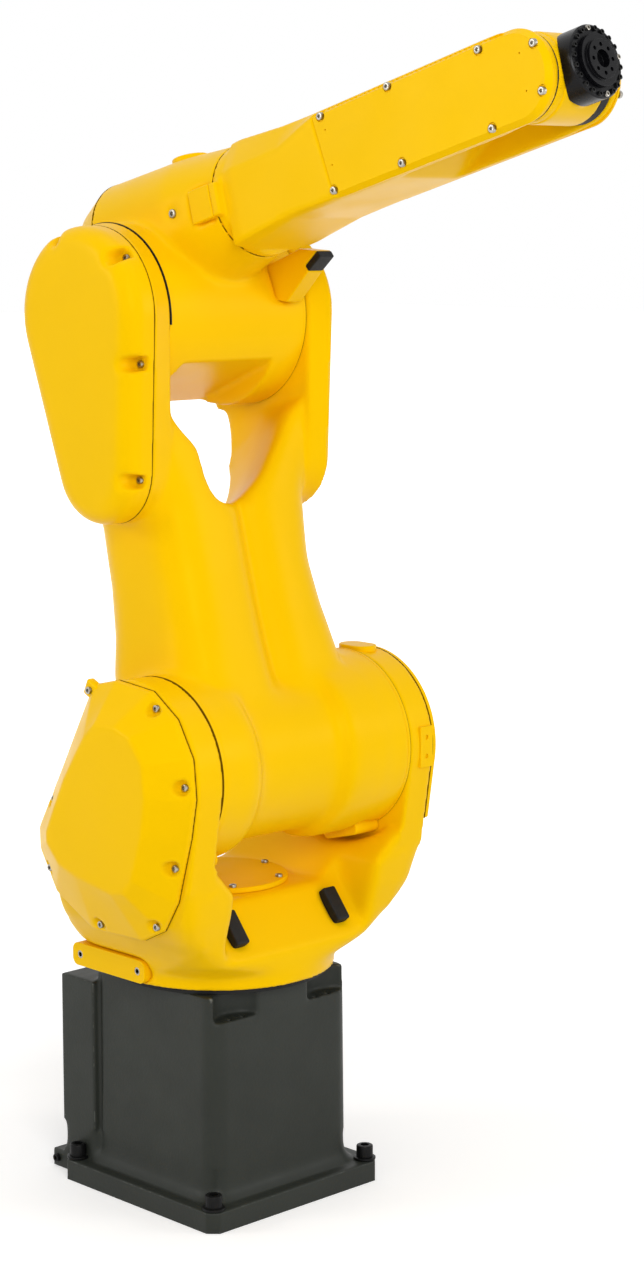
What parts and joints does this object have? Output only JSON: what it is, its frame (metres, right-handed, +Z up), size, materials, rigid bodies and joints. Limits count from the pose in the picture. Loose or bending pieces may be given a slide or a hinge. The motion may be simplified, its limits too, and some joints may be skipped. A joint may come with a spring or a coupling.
{
  "type": "industrial robot arm",
  "caption": "Floor-standing articulated robot arm: dark cast pedestal, yellow turntable with shoulder yoke, twin-column lower arm, rolling forearm, bending wrist and a black tool flange.",
  "frame": {"origin": "on the turntable's vertical axis, at the underside of the base plate", "axes": "+X the way the forearm points, +Y to the arm's left, +Z up along the turntable's axis"},
  "size_m": [0.9321, 0.5034, 1.6006],
  "materials": {
    "yellow_paint": "glossy",
    "dark_paint": "satin",
    "black_rubber": "matte",
    "black_metal": "satin black anodised"
  },
  "bodies": {
    "base": {"base_casting": "dark_paint", "base_rear_panel": "dark_paint", "base_seal": "black_rubber"},
    "turntable": {"turntable_column": "yellow_paint", "side_lug": "yellow_paint", "shoulder_motor_cover": "yellow_paint", "shoulder_gear_cover": "yellow_paint", "turntable_cap": "yellow_paint", "turntable_back": "yellow_paint", "front_bumper_right": "black_rubber", "front_bumper_left": "black_rubber", "shoulder_pad": "yellow_paint", "shoulder_boss": "yellow_paint"},
    "lower_arm": {"lower_arm_casting": "yellow_paint", "arm_stop_right": "yellow_paint", "arm_stop_left": "yellow_paint", "arm_boss": "yellow_paint", "elbow_motor_cover": "yellow_paint", "elbow_gear_cover": "yellow_paint"},
    "elbow": {"elbow_casting": "yellow_paint", "elbow_rear_cover": "yellow_paint", "elbow_side_block": "yellow_paint", "elbow_bracket": "yellow_paint", "elbow_bumper": "black_rubber"},
    "forearm": {"forearm_casting": "yellow_paint", "forearm_cover_right": "yellow_paint", "forearm_cover_left": "yellow_paint"},
    "wrist": {"wrist_knuckle": "yellow_paint", "wrist_seal_right": "black_rubber", "wrist_seal_left": "black_rubber", "wrist_housing": "black_metal"},
    "flange": {"tool_flange": "black_metal"}
  },
  "joints": [
    {"name": "axis_1_turn", "type": "hinge", "parent": "base", "child": "turntable", "pos_m": [0, 0, 0.3253], "axis": [0, 0, 1], "range_deg": [-170, 170]},
    {"name": "axis_2_lower_arm", "type": "hinge", "parent": "turntable", "child": "lower_arm", "pos_m": [0.0766, 0, 0.6361], "axis": [0, 1, 0], "range_deg": [-85, 139]},
    {"name": "axis_3_elbow", "type": "hinge", "parent": "lower_arm", "child": "elbow", "pos_m": [-0.08009, 0, 1.23763], "axis": [0, -1, 0], "range_deg": [-62, 95]},
    {"name": "axis_4_forearm_roll", "type": "hinge", "parent": "elbow", "child": "forearm", "pos_m": [0.08181, 0, 1.3969], "axis": [0.9655, 0, 0.2605], "range_deg": [-200, 200]},
    {"name": "axis_5_wrist_bend", "type": "hinge", "parent": "forearm", "child": "wrist", "pos_m": [0.60674, 0, 1.53854], "axis": [0, -1, 0], "range_deg": [-140, 140]},
    {"name": "axis_6_flange_roll", "type": "hinge", "parent": "wrist", "child": "flange", "pos_m": [0.67577, 0, 1.55716], "axis": [0.9655, 0, 0.2605], "range_deg": [-450, 450]}
  ]
}
